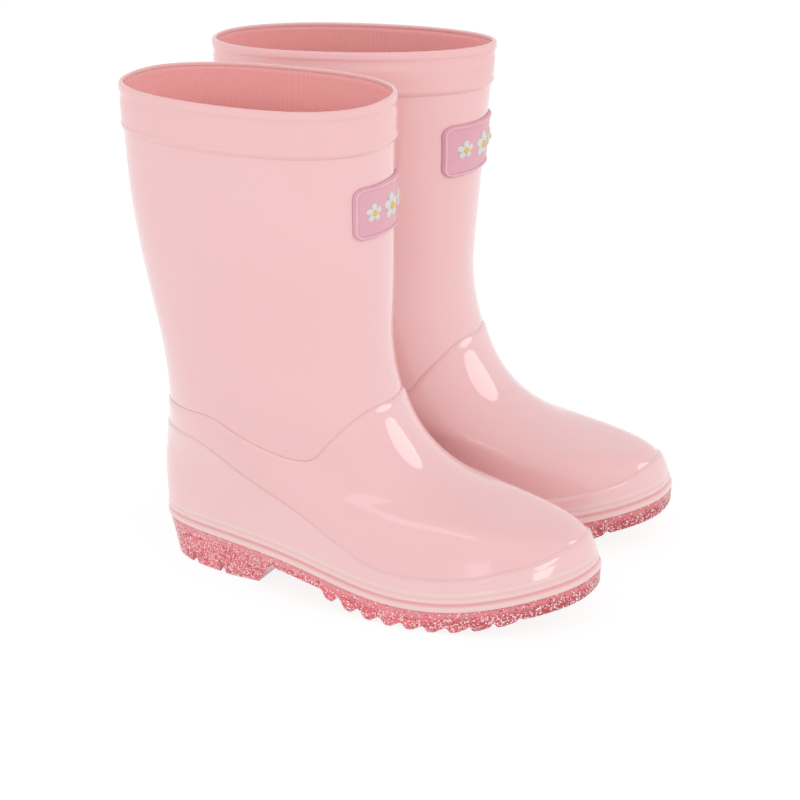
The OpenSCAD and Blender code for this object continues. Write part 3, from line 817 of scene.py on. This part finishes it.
@dataclass
class Upper(SubAssembly):
    """Leg, rolled top band, galosh and foxing, each a closed ring on the one below it."""

    lap: float = 0.7
    foxing_t: float = 0.8
    welt_h: float = 6.9
    leg_rows: int = 60
    leg_start: float = 1.4
    tuck: float = 0.6
    press: float = 0.05

    def build(self) -> None:
        """Makes the four layers."""
        rounds = Meridians(self.form, self.angles())
        galosh = rounds.run(self.form.line(self.form.galosh_line, rounds.angles))
        foxing = rounds.run(self.form.line(self.form.foxing_line, rounds.angles))
        sole = rounds.run(FEATHER)
        self.add("leg_shell", "upper_pvc", [self.leg(rounds, galosh)])
        self.add("top_band", "upper_pvc", [self.band(rounds)], finish="soft_pvc")
        layer = self.layer(rounds, galosh, sole, -self.form.wall, self.lap, rows=80, slope=1.6)
        self.add("galosh", "upper_pvc", [layer])
        layer = self.layer(rounds, foxing, sole - self.welt_h, self.lap - self.press,
                           self.lap + self.foxing_t, rows=40)
        self.add("foxing", "upper_pvc", [layer], finish="foxing_pvc")

    def leg(self, rounds: Meridians, galosh: Array) -> Sheet:
        """Plain wall from under the rim to just inside the galosh's edge.

        Args:
            rounds: The columns.
            galosh: Length from the rim to the galosh's edge in each column.

        Returns:
            The closed ring.
        """
        share = np.linspace(0, 1, self.leg_rows)
        runs = self.leg_start + share[None] * (galosh[:, None] + self.tuck - self.leg_start)
        runs = np.hstack([runs, runs[:, ::-1]])
        inner = self.press - self.form.wall * self.form.thinned(runs)
        outside = np.arange(runs.shape[1]) < self.leg_rows
        return Sheet(rounds.points(runs, np.where(outside, 0.0, inner)))

    def band(self, rounds: Meridians) -> Sheet:
        """Rolled bead, hollow, ridge and smooth band round the mouth.

        Args:
            rounds: The columns.

        Returns:
            The closed ring.
        """
        start, under = 1.3, -0.3
        inner = -(self.form.wall + self.form.lining_t) * float(self.form.thinned(start))
        outside = flowing([
            (start, inner), (0.6, inner + 0.03), (0.2, inner + 0.14), (0.0, inner + 0.42),
            (0.0, -0.32), (0.1, 0.06), (0.4, 0.4), (0.95, 0.63), (1.7, 0.72), (2.5, 0.72),
            (2.9, 0.66), (3.2, 0.52), (3.6, 0.38), (4.4, 0.3), (5.4, 0.32), (6.1, 0.44),
            (6.7, 0.6), (7.5, 0.68), (10.0, 0.66), (13.8, 0.66), (14.5, 0.78), (15.0, 0.98),
            (15.4, 1.03), (15.9, 0.92), (16.4, 0.66), (16.9, 0.3), (17.2, 0.04), (17.3, -0.1)], 3)
        profile = np.vstack([outside, [[17.0, under], [8.0, under], [start, under]]])
        return Sheet(rounds.points(np.tile(profile[:, 0], (self.columns, 1)), profile[:, 1]))

    def layer(self, rounds: Meridians, top: Array, foot: Array, inner: float, outer: float, rows: int,
              slope: float = 1.0) -> Sheet:
        """One layer with a rounded top edge.

        Args:
            rounds: The columns.
            top: Length from the rim to the layer's edge in each column.
            foot: Length from the rim to its lower end in each column.
            inner: Distance of its inner face from the skin.
            outer: Distance of its outer face from the skin.
            rows: Rows down the outer face.
            slope: How drawn out the top edge is.

        Returns:
            The closed ring.
        """
        rise = outer - max(inner, 0.0)
        base = outer - rise
        lip = flowing([(0.02, base - 0.1), (0.0, base + 0.06 * rise), (0.3 * slope, base + 0.45 * rise),
                       (0.75 * slope, base + 0.86 * rise), (1.3 * slope, base + 1.08 * rise),
                       (2.1 * slope, base + 1.1 * rise), (3.4 * slope, outer)], 3)
        start = top[:, None] + lip[None, :, 0]
        even, eased = np.linspace(0, 1, rows), 0.35
        share = smooth(even) * eased + even * (1 - eased)
        body = start[:, -1:] + share[None, 1:] * (foot[:, None] - start[:, -1:])
        back = body[:, ::-4]
        runs = np.hstack([start, body, back, top[:, None] + 0.02])
        d = np.concatenate([lip[:, 1], np.full(body.shape[1], outer), np.full(back.shape[1] + 1, inner)])
        return Sheet(rounds.points(runs, d))


@dataclass
class Bottom(SubAssembly):
    """Beaded welt and glitter sole with heel block, thin arch and saw-tooth lugs."""

    sole_edge: float = 1.5
    seam: float = 0.08
    heel_len: float = 50.0
    arch_t: float = 5.0
    lug_x0: float = 84.2
    lug_n: int = 9
    lug_pitch: float = 8.3
    lug_depth: float = 2.1
    lug_gap: float = 1.4
    breast: float = 9.0
    reach_x: tuple[float, float] = (-8.0, 186.0)
    ball_x: float = 112.0
    ball_roll: float = 160.0
    spring_x: float = 122.0
    spring_run: float = 30.0
    spring_roll: float = 190.0
    spring_rise: float = 0.24
    edge_r: float = 0.9
    heel_edge_r: float = 0.2
    toe_edge_r: float = 0.9
    toe_draft: float = 0.05
    groove_w: float = 1.6
    groove_d: float = 4.5
    groove_flare: float = 0.5
    grooves: tuple[float, float] = (20.0, 34.0)
    stretches: tuple[tuple[float, float, float], ...] = (
        (159, 82.5, 0.55), (82, 60, 2.0), (60, 48, 0.7), (48, 36.4, 2.0), (36.4, 31.6, 0.3),
        (31.6, 22.4, 2.0), (22.4, 17.6, 0.3), (17.6, 10, 2.0))
    draft_x: tuple[float, ...] = (-0.3, 3, 7, 11, 16, 22, 29, 36, 42, 48, 54, 64)
    draft: tuple[float, ...] = (0.42, 0.28, 0.17, 0.11, 0.10, 0.13, 0.18, 0.22, 0.30, 0.38, 0.36, 0.09)

    def build(self) -> None:
        """Makes the welt and the sole."""
        self.add("welt", "welt_pvc", [self.welt()])
        self.add("outsole", "glitter_sole", [self.outsole()])

    def welt(self) -> Sheet:
        """Lip, two beads and the groove between them, at even heights over the feather line.

        Returns:
            The closed ring, with marks where shade is painted into its grooves.
        """
        rounds = Meridians(self.form, self.angles())
        profile = flowing([
            (7.5, 1.40), (7.1, 1.5), (6.4, 1.6), (5.8, 1.6), (5.4, 1.5), (5.1, 1.5), (4.8, 1.62), (4.4, 1.78),
            (4.0, 1.82), (3.6, 1.74), (3.3, 1.56), (3.05, 1.38), (2.75, 1.28), (2.45, 1.34), (2.2, 1.52),
            (1.9, 1.76), (1.5, 1.92), (1.0, 1.98), (0.5, 1.9), (0.15, 1.66), (0.0, 1.2), (0.0, 0.6)], 3)
        profile = np.vstack([profile, [[3.5, 0.6], [7.5, 0.6]]])
        up = profile[:, 0]
        runs = rounds.run(FEATHER)[:, None] - up[None]
        # Painted shade: the groove between the beads, and less the one under the lip, get the deeper pink
        hollow = np.exp(-((up - 2.75) / 0.6) ** 2) + 0.3 * np.exp(-((up - 5.25) / 0.5) ** 2)
        marks = {"hollow": np.tile(hollow, (self.columns, 1))}
        return Sheet(rounds.points(runs, profile[:, 1]), marks=marks)

    def ground_at(self, x: Array) -> Array:
        """Height of the tread's rolling line.

        Args:
            x: Distance from the heel.

        Returns:
            Height over the ground, which rises before the ball and under the toe.
        """
        toe, heel = np.maximum(x - self.spring_x, 0), np.maximum(self.ball_x - x, 0)
        bend = np.minimum(toe, self.spring_run)
        return (heel ** 2 / self.ball_roll + bend ** 2 / self.spring_roll
                + (toe - bend) * self.spring_rise)

    def tread(self) -> tuple[Array, Array]:
        """Draws the side view of the tread with rounded corners.

        Returns:
            Distances from the heel and heights there.
        """
        pitch, deep, half = self.lug_pitch, self.lug_depth, self.groove_w / 2
        start, stop = self.reach_x
        points = [(start, 0.0)]
        for g in self.grooves:
            points += [(g - half - self.groove_flare, 0.0), (g - half, self.groove_d),
                       (g + half, self.groove_d), (g + half + self.groove_flare, 0.0)]
        points.append((self.heel_len, 0.0))
        points += [(x, float(self.form.feather_at(x)) - self.arch_t)
                   for x in np.linspace(self.heel_len + self.breast, self.lug_x0 - self.lug_gap, 6)]
        for x in self.lug_x0 + pitch * np.arange(self.lug_n):
            z, crest, last = (float(self.ground_at(x + k * pitch)) for k in (0, 0.3, 1))
            points += [(x, z), (x + 0.3 * pitch, crest), (x + 0.7 * pitch, z + deep),
                       (x + pitch - 1.1, last + deep)]
        end = self.lug_x0 + self.lug_n * pitch
        points += [(x, float(self.ground_at(x)) + deep * 0.5) for x in np.linspace(end, stop, 8)]
        step, reach, blur = 0.1, 12, 0.42
        x = np.arange(start, stop, step)
        z = np.interp(x, *np.array(points).T)
        bell = np.exp(-(np.arange(-reach, reach + 1) * step / blur) ** 2)
        return x, np.convolve(np.pad(z, reach, mode="edge"), bell / bell.sum(), "valid")

    def stations(self) -> Array:
        """Places the columns, closest together where the tread has its steps.

        Returns:
            Angles from the toe to the heel.
        """
        toe = np.linspace(0, math.radians(38), 32)
        places = [np.arange(high, low, -step) for high, low, step in self.stretches]
        p = self.form.place_at(np.concatenate(places))
        middle = np.arccos(np.clip(signed_power(p, self.form.feather_n / 2), -1, 1))
        heel = np.linspace(middle.max(), math.pi, 30)
        return np.unique(np.round(np.concatenate([toe, middle, heel]), 5))

    def outsole(self) -> Sheet:
        """Walls that draw in towards the tread, rolled lower edges and bars across the foot.

        Returns:
            The closed sole, with marks for the depth under the welt and for the lug tips.
        """
        half = self.stations()
        half[-1] = math.pi
        a = np.concatenate([half, 2 * math.pi - half[-2:0:-1]])
        top, out = self.form.lifted(FEATHER, a, self.sole_edge), self.form.sideways(a)
        places, heights = self.tread()
        block = 1 - smooth((top[:, 0] - self.heel_len + 4) / 14)
        toe = smooth((np.cos(a) - 0.6) / 0.35)
        draft = np.interp(top[:, 0], self.draft_x, self.draft) - self.toe_draft * toe
        roll = self.edge_r + self.heel_edge_r * block + self.toe_edge_r * toe
        # The lower edge is where the walls, drawn in by their draft, reach the tread
        tall = np.full(a.shape, 8.0)
        for _ in range(6):
            inset = draft * tall + roll * 0.5
            tall = top[:, 2] - np.interp(top[:, 0] - out[:, 0] * inset, places, heights)
        roll = np.minimum(roll, tall * 0.7)
        shares = np.concatenate([[0.0, 0.04, 0.12], np.linspace(0.22, 1, 9)])
        start, wall = top[:, 2] - self.seam, tall - roll
        rows, drops = [np.column_stack([top[:, :2] - out * 1.2, start])], [np.zeros(a.shape)]
        for share in shares:
            inset = draft * share * wall + 0.25 * (1 - share) ** 12
            rows.append(np.column_stack([top[:, :2] - out * inset[:, None], start - share * wall]))
            drops.append(share * wall)
        for turn in np.radians([18, 36, 54, 72, 90]):
            inset, down = draft * wall + roll * (1 - math.cos(turn)), wall + roll * math.sin(turn)
            rows.append(np.column_stack([top[:, :2] - out * inset[:, None], top[:, 2] - down]))
            drops.append(down)
        flat = top[:, :2] - out * (draft * wall + roll)[:, None]
        rows[-1][:, 2] = np.interp(flat[:, 0], places, heights)
        middle = 2.5 * smooth((flat[:, :1] - 60) / 60)
        for more in (1.2, 4.0):
            xy = flat - out * more * np.minimum(1, np.abs(flat[:, 1:2] - middle) / 6)
            rows.append(np.column_stack([xy, np.interp(xy[:, 0], places, heights)]))
            drops.append(tall)
        points = np.stack(rows, 1)
        x, z = points[..., 0], points[..., 2]
        end = self.lug_x0 + self.lug_n * self.lug_pitch
        lugs = smooth((x - self.lug_x0 + 2) / 2) * (1 - smooth((x - end + 2) / 3))
        tip = lugs * clamp((self.ground_at(x) + self.lug_depth - z) / self.lug_depth)
        marks = {"drop": np.stack(drops, 1), "tip": tip}
        strips = floor_strips(len(a), len(rows), 0, len(rows) - 1)
        return Sheet(points, wrap_rows=False, marks=marks, extra=strips)


@dataclass
class Lining(SubAssembly):
    """Rib-knit sock inside the leg and the foot."""

    ribs: int = 240
    rib_h: float = 0.14
    start: float = 1.0
    rows: int = 40
    rim_rows: int = 8
    rim_part: float = 0.09
    floor_from: float = 0.72

    def build(self) -> None:
        """Makes the sock, with its ribs as real relief on the inner face."""
        self.columns = self.ribs * 4
        form, rounds = self.form, Meridians(self.form, self.angles())
        foot = rounds.run(FEATHER)
        share = np.concatenate([np.linspace(0, self.rim_part, self.rim_rows, endpoint=False),
                                np.linspace(self.rim_part, 1, self.rows - self.rim_rows)])
        runs = self.start + share[None] * (foot[:, None] - self.start)
        phase = self.angles() * self.ribs
        fade = 1 - smooth((share - self.floor_from) / 0.12)
        relief = 0.5 * self.rib_h * np.cos(phase)[:, None] * fade[None]
        thin = form.thinned(runs)
        inner = rounds.points(runs, (-form.wall - form.lining_t) * thin + 0.1 - relief)
        inner[:, -1, 2] += form.lining_t
        few = np.append(np.arange(0, self.rows - 1, 5), self.rows - 1)
        outer = rounds.points(runs[:, few], -form.wall * thin[:, few] - 0.06)
        points = np.concatenate([outer, inner[:, ::-1]], 1)
        m, n, r = points.shape[1], self.columns, outer.shape[1]
        u = np.repeat(np.arange(n + 1)[:, None] / 4.0, m, 1)
        v = np.concatenate([runs[:, few], runs[:, ::-1]], 1)
        lay = np.stack([u, np.vstack([v, v[:1]])], -1)
        # Under the foot the two skins are closed by floors and not by faces from one to the other
        sheet = Sheet(points, lay=lay, extra=floor_strips(n, m, r, r - 1), open_row=r - 1)
        self.add("lining_sock", "rib_knit", [sheet])


@dataclass
class Insole(SubAssembly):
    """Loose insole: a foam sheet with a knit cover, cut to the tread."""

    foam_t: float = 3.0
    cover_t: float = 0.8
    gap: float = 3.6
    ease: float = 0.12
    clear: float = 0.3

    def build(self) -> None:
        """Makes the foam and the cover that lies on it."""
        base = self.form.lining_t + self.clear
        self.add("insole_foam", "insole_foam", [self.slab(base, base + self.foam_t - 0.02, 0.7)], "insole")
        top = base + self.foam_t
        self.add("insole_cover", "rib_knit", [self.slab(top, top + self.cover_t, 0.3)], "insole")

    def slab(self, low: float, high: float, roll: float) -> Sheet:
        """A bent sheet with rolled edges between two heights over the boot's floor.

        Args:
            low: Height of its lower face.
            high: Height of its upper face.
            roll: Radius of its edges.

        Returns:
            The closed sheet.
        """
        form, a = self.form, self.angles()
        deep = -form.wall - form.lining_t
        wide = form.lifted(FEATHER, a, deep - self.gap)
        wide[:, 1] *= np.where(wide[:, 1] < 0, 1 - self.ease * smooth((wide[:, 0] - 50) / 40), 1)
        out, bed = form.sideways(a), form.lifted(FEATHER, a, deep)
        half = self.columns // 2
        mean = (bed[:half + 1] + bed[-np.arange(half + 1)]) / 2
        edge, bevel, rows = 5.0, roll * 0.3, []
        for inset, z in ((edge, high), (roll * 2, high), (roll, high), (bevel, high - bevel),
                         (0, high - roll), (0, low + roll), (bevel, low + bevel), (roll, low),
                         (edge, low)):
            near = np.minimum(1, np.abs(wide[:, 1:2]) / 8) if inset > roll * 2 else 1
            xy = wide[:, :2] - out * inset * near
            floor = np.interp(xy[:, 0], mean[::-1, 0], mean[::-1, 2])
            rows.append(np.column_stack([xy, floor + z]))
        strips = floor_strips(self.columns, len(rows), 0, len(rows) - 1)
        return Sheet(np.stack(rows, 1), wrap_rows=False, extra=strips)

    def dress(self, materials: dict[str, bpy.types.Material]) -> None:
        super().dress(materials)


@dataclass
class Badge(SubAssembly):
    """Moulded badge on the front of the leg: plate, raised border and a row of three blossoms."""

    width: float = 36.0
    height: float = 19.5
    corner: float = 3.5
    thick: float = 1.0
    border_in: float = 0.5
    border_w: float = 0.8
    border_t: float = 0.45
    blossom_r: float = 5.0
    blossom_t: float = 0.8
    centre_t: float = 0.5
    blossom_step: float = 10.5
    small: float = 0.72
    sunk: float = 0.02
    middle_s: float = 0.98
    shaft_step: float = 39.0
    shift: float = 2.0

    def build(self) -> None:
        """Makes the plate, the border, the blossoms and their centres."""
        t = self.thick
        edge = self.rings([
            (self.corner, self.sunk), (0.0, self.sunk), (0.0, t - 0.55), (0.06, t - 0.28),
            (0.22, t - 0.08), (0.5, t), (self.corner, t)], filled=True)
        self.add("badge_plate", "badge_mauve", [edge, self.middle(t), self.middle(self.sunk, up=False)])
        low, high, e, w = t - self.sunk, t + self.border_t, self.border_in, self.border_w
        bead = [(0.0, low), (0.02, high - 0.25), (0.1, high - 0.07), (0.24, high)]
        profile = [(e + x, z) for x, z in bead] + [(e + w - x, z) for x, z in bead[::-1]]
        self.add("badge_border", "badge_pale", [self.rings(profile, filled=False)])
        spots = ((-self.blossom_step, self.small), (0.0, 1.0), (self.blossom_step, self.small))
        self.add("badge_blossoms", "badge_white", [
            self.dome(u, self.blossom_r * k, low, self.blossom_t + self.sunk, 5) for u, k in spots])
        self.add("badge_centres", "badge_yellow", [
            self.dome(u, self.blossom_r * k * 0.3, t + self.blossom_t * 0.62, self.centre_t + 0.3, 0)
            for u, k in spots])

    def bent(self, u: Array, v: Array, d: Array) -> Array:
        """Lays points of the flat badge on the leg.

        Args:
            u: Places across the badge.
            v: Places up it.
            d: Heights out of the skin.

        Returns:
            The points on the boot.
        """
        s = self.middle_s - np.asarray(v) / self.shaft_step
        r = fair_curve(self.form.rows, s)
        a = np.arcsin(np.clip(signed_power((u + self.shift) / r[..., 4], r[..., 5] / 2), -1, 1))
        return self.form.lifted(s, a, d)

    def outline(self, inset: float) -> Array:
        """Draws the badge's rounded rectangle, with points on its straight edges.

        Args:
            inset: How far it lies inside the badge's edge.

        Returns:
            The points, one row each.
        """
        r = max(self.corner - inset, 0.0)
        w, h = self.width / 2 - self.corner, self.height / 2 - self.corner
        points = []
        for x, y, start in ((1, 1, 0), (-1, 1, 90), (-1, -1, 180), (1, -1, 270)):
            for turn in np.radians(start + np.linspace(0, 90, 9)):
                points.append((x * w + r * math.cos(turn), y * h + r * math.sin(turn)))
            steps = 24 if x * y > 0 else 14
            nx, ny = (-x, y) if x * y > 0 else (x, -y)
            a = np.array(points[-1])
            b = np.array([nx * w + (0 if x * y > 0 else r * x), ny * h + (r * y if x * y > 0 else 0)])
            points += [tuple(a + (b - a) * k / steps) for k in range(1, steps)]
        return np.array(points)

    def rings(self, profile: Profile, filled: bool) -> Sheet:
        """A bent plate or frame from insets and heights, from its foot over its edge inwards.

        Args:
            profile: Pairs of inset and height.
            filled: Whether the middle has faces of its own, so that the ring ends at their edge.

        Returns:
            The surface.
        """
        rows = []
        for inset, d in profile:
            o = self.outline(inset)
            rows.append(self.bent(o[:, 0], o[:, 1], np.full(len(o), d)))
        return Sheet(np.stack(rows, 1)[:, ::-1], wrap_rows=not filled)

    def middle(self, d: float, up: bool = True) -> Sheet:
        """The middle of a face of the plate, inside its rounded corners.

        Args:
            d: Height of the face over the leg.
            up: Whether it faces out.

        Returns:
            The surface.
        """
        w, h = self.width / 2 - self.corner, self.height / 2 - self.corner
        u, v = np.meshgrid(np.linspace(-w, w, 25), np.linspace(-h, h, 15), indexing="ij")
        points = self.bent(u, v, np.full(u.shape, d))
        return Sheet(points[:, ::-1] if up else points, wrap_cols=False, wrap_rows=False)

    def dome(self, u: float, radius: float, low: float, tall: float, petals: int) -> Sheet:
        """A soft boss, round or with petals, closed at its top.

        Args:
            u: Its place across the badge.
            radius: Its largest radius.
            low: Height of its foot.
            tall: Its height over the foot.
            petals: Number of petals, or 0 for a round one.

        Returns:
            The surface.
        """
        turns = np.linspace(0, 2 * np.pi, 100, endpoint=False)
        lobe = np.abs(np.cos(petals * turns / 2)) ** 0.7 if petals else np.ones(100)
        edge = radius * (0.5 + 0.5 * lobe)
        rows = []
        for share in (0.02, 0.2, 0.35, 0.5, 0.65, 0.78, 0.88, 0.95, 0.99, 1.0, 0.98, 0.02):
            puff = math.sqrt(max(0.0, 1 - share ** 3.2)) if len(rows) < 9 else 0.0
            d = low + tall * puff * (1 - 0.35 * share * (1 - lobe)) * (0.82 + 0.18 * share if petals else 1.0)
            rows.append(self.bent(u + edge * share * np.sin(turns), edge * share * np.cos(turns),
                                  np.broadcast_to(d, turns.shape)))
        points = np.stack(rows, 1)[::-1]
        m, n = points.shape[1], points.shape[0]
        caps = [tuple(k * m for k in range(n)), tuple(k * m + m - 1 for k in range(n - 1, -1, -1))]
        return Sheet(points, wrap_rows=False, extra=caps)


# Studio

@dataclass
class Lamp:
    """One round, square or tall soft light, for all pieces or only for those of one kind."""

    name: str
    place: tuple[float, float, float]
    size: float
    watts: float
    aim: tuple[float, float, float] = (0.02, 0.0, 0.06)
    shape: str = "DISK"
    tall: float = 0.0
    lights: bool = True
    shines: bool = True
    only: str = ""

    def hang(self) -> None:
        """Puts the lamp in the studio, turned to its aim."""
        data = bpy.data.lights.new(self.name, "AREA")
        data.shape, data.energy = self.shape, self.watts
        data.size, data.size_y = self.size, self.tall or self.size
        lamp = bpy.data.objects.new(self.name, data)
        lamp.location = self.place
        lamp.rotation_euler = (Vector(self.place) - Vector(self.aim)).to_track_quat("Z", "Y").to_euler()
        lamp.visible_camera = False
        lamp.visible_diffuse, lamp.visible_glossy = self.lights, self.shines
        if self.only:
            group = bpy.data.collections.new(f"{self.name}_pieces")
            for piece in [o for o in bpy.data.objects if f"_{self.only}_piece" in o.name]:
                group.objects.link(piece)
            lamp.light_linking.receiver_collection = group
        bpy.context.scene.collection.objects.link(lamp)


@dataclass
class Studio:
    """White sweep, soft lights and the camera."""

    azimuth: float = 23.42
    elevation: float = 21.92
    distance: float = 0.99608
    target: tuple[float, float, float] = (-0.00233, 0.00393, 0.05504)
    lens: float = 114.98
    sky: tuple[float, float] = (1.02, 0.70)
    floor_size: float = 6.0
    floor_white: float = 0.80
    floor_glow: float = 0.07
    lamps: list[Lamp] = field(default_factory=lambda: [
        Lamp("toe_softbox", (0.666, 0.305, 0.408), 0.55, 1.7, lights=False, only="galosh"),
        Lamp("low_softbox", (0.52, -0.53, 0.43), 0.36, 0.9, aim=(0.09, -0.04, 0.03), lights=False,
             only="foxing"),
        Lamp("strip_softbox", (0.03, -0.67, 0.54), 0.10, 0.07, aim=(0.03, -0.04, 0.05),
             shape="RECTANGLE", tall=0.25, lights=False),
        Lamp("key_softbox", (0.85, -0.35, 0.75), 0.6, 1.65, shape="SQUARE", shines=False),
        Lamp("fill_softbox", (-0.6, -0.8, 0.4), 0.6, 0.8, shape="SQUARE", shines=False),
    ])

    def build(self) -> None:
        """Sets up the floor, the world, the lamps and the camera."""
        self.lay_floor()
        self.light_world()
        for lamp in self.lamps:
            lamp.hang()
        self.set_camera()
        bpy.context.scene.view_settings.view_transform = "Standard"

    def lay_floor(self) -> None:
        """Lays the pale floor, which keeps a light shadow of the boots."""
        h = self.floor_size / 2
        mesh = bpy.data.meshes.new("studio_floor")
        mesh.from_pydata([(-h, -h, 0), (h, -h, 0), (h, h, 0), (-h, h, 0)], [], [(0, 1, 2, 3)])
        floor = bpy.data.objects.new("studio_floor", mesh)
        bpy.context.scene.collection.objects.link(floor)
        bench = NodeBench("white_sweep")
        path = bench.add("LightPath")
        seen = bench.math("MAXIMUM", path.outputs["Is Camera Ray"], path.outputs["Is Glossy Ray"])
        matt = bench.add("BsdfDiffuse", {"Color": (0.92, 0.91, 0.91, 1)})
        white = bench.add("Emission", {"Color": (1, 1, 1, 1), "Strength": 1.0})
        share = bench.math("MULTIPLY", seen, self.floor_white)
        mix = bench.add("MixShader", {0: share, 1: matt.outputs[0], 2: white.outputs[0]})
        lift = bench.math("MULTIPLY", seen, self.floor_glow)
        glow = bench.add("Emission", {"Color": (1, 1, 1, 1), "Strength": lift})
        both = bench.add("AddShader", {0: mix.outputs[0], 1: glow.outputs[0]})
        mesh.materials.append(bench.close(both))

    def light_world(self) -> None:
        """Surrounds the boots with white light that fades to the zenith, and shows plain white."""
        bench = NodeBench("white_cyclorama", world=True)
        around = bench.add("TexCoord").outputs["Generated"]
        height = bench.add("SeparateXYZ", {"Vector": around}).outputs["Z"]
        seen = bench.add("LightPath").outputs["Is Camera Ray"]
        glow = bench.span(seen, 0, 1, bench.span(height, 0, 1, *self.sky), 1.0)
        sky = bench.add("Background", {"Color": (1, 1, 1, 1), "Strength": glow})
        bpy.context.scene.world = bench.close(sky)

    def set_camera(self) -> None:
        """Stands the camera at the picture's angle."""
        az, el = math.radians(self.azimuth), math.radians(self.elevation)
        back = Vector((math.sin(az) * math.cos(el), -math.cos(az) * math.cos(el), math.sin(el)))
        data = bpy.data.cameras.new("picture_camera")
        data.lens, data.sensor_width, data.clip_start = self.lens, 36.0, 0.01
        camera = bpy.data.objects.new("picture_camera", data)
        camera.location = Vector(self.target) + back * self.distance
        camera.rotation_euler = back.to_track_quat("Z", "Y").to_euler()
        bpy.context.scene.collection.objects.link(camera)
        bpy.context.scene.camera = camera


def main() -> None:
    """Builds both boots and the studio, in order, and logs each piece's face count and body."""
    logging.basicConfig(level=logging.INFO, format="%(name)s: %(message)s")
    materials = {slot: finish.make() for slot, finish in finishes().items()}
    forms = (
        BootForm(Side.RIGHT, mouth_len=106.6, mouth_w=61.5, mouth_egg=0.075, mouth_lean=2.2, mouth_n=2.42,
                 rim_back=15.4, rim_h=187.4, rim_dip=2.3, upper_x=92.4, upper_z=147.9),
        BootForm(Side.LEFT, mouth_len=114.8, mouth_w=48.8, mouth_egg=-0.095, mouth_lean=-0.6, mouth_n=2.16,
                 rim_back=14.9, rim_h=191.2, rim_dip=6.1, upper_x=95.6, upper_z=151.1, lead=1.5))
    for form in forms:
        for group in (Upper(form), Bottom(form), Lining(form), Insole(form), Badge(form)):
            group.build()
            group.dress(materials)
    Studio().build()


if __name__ == "__main__":
    main()
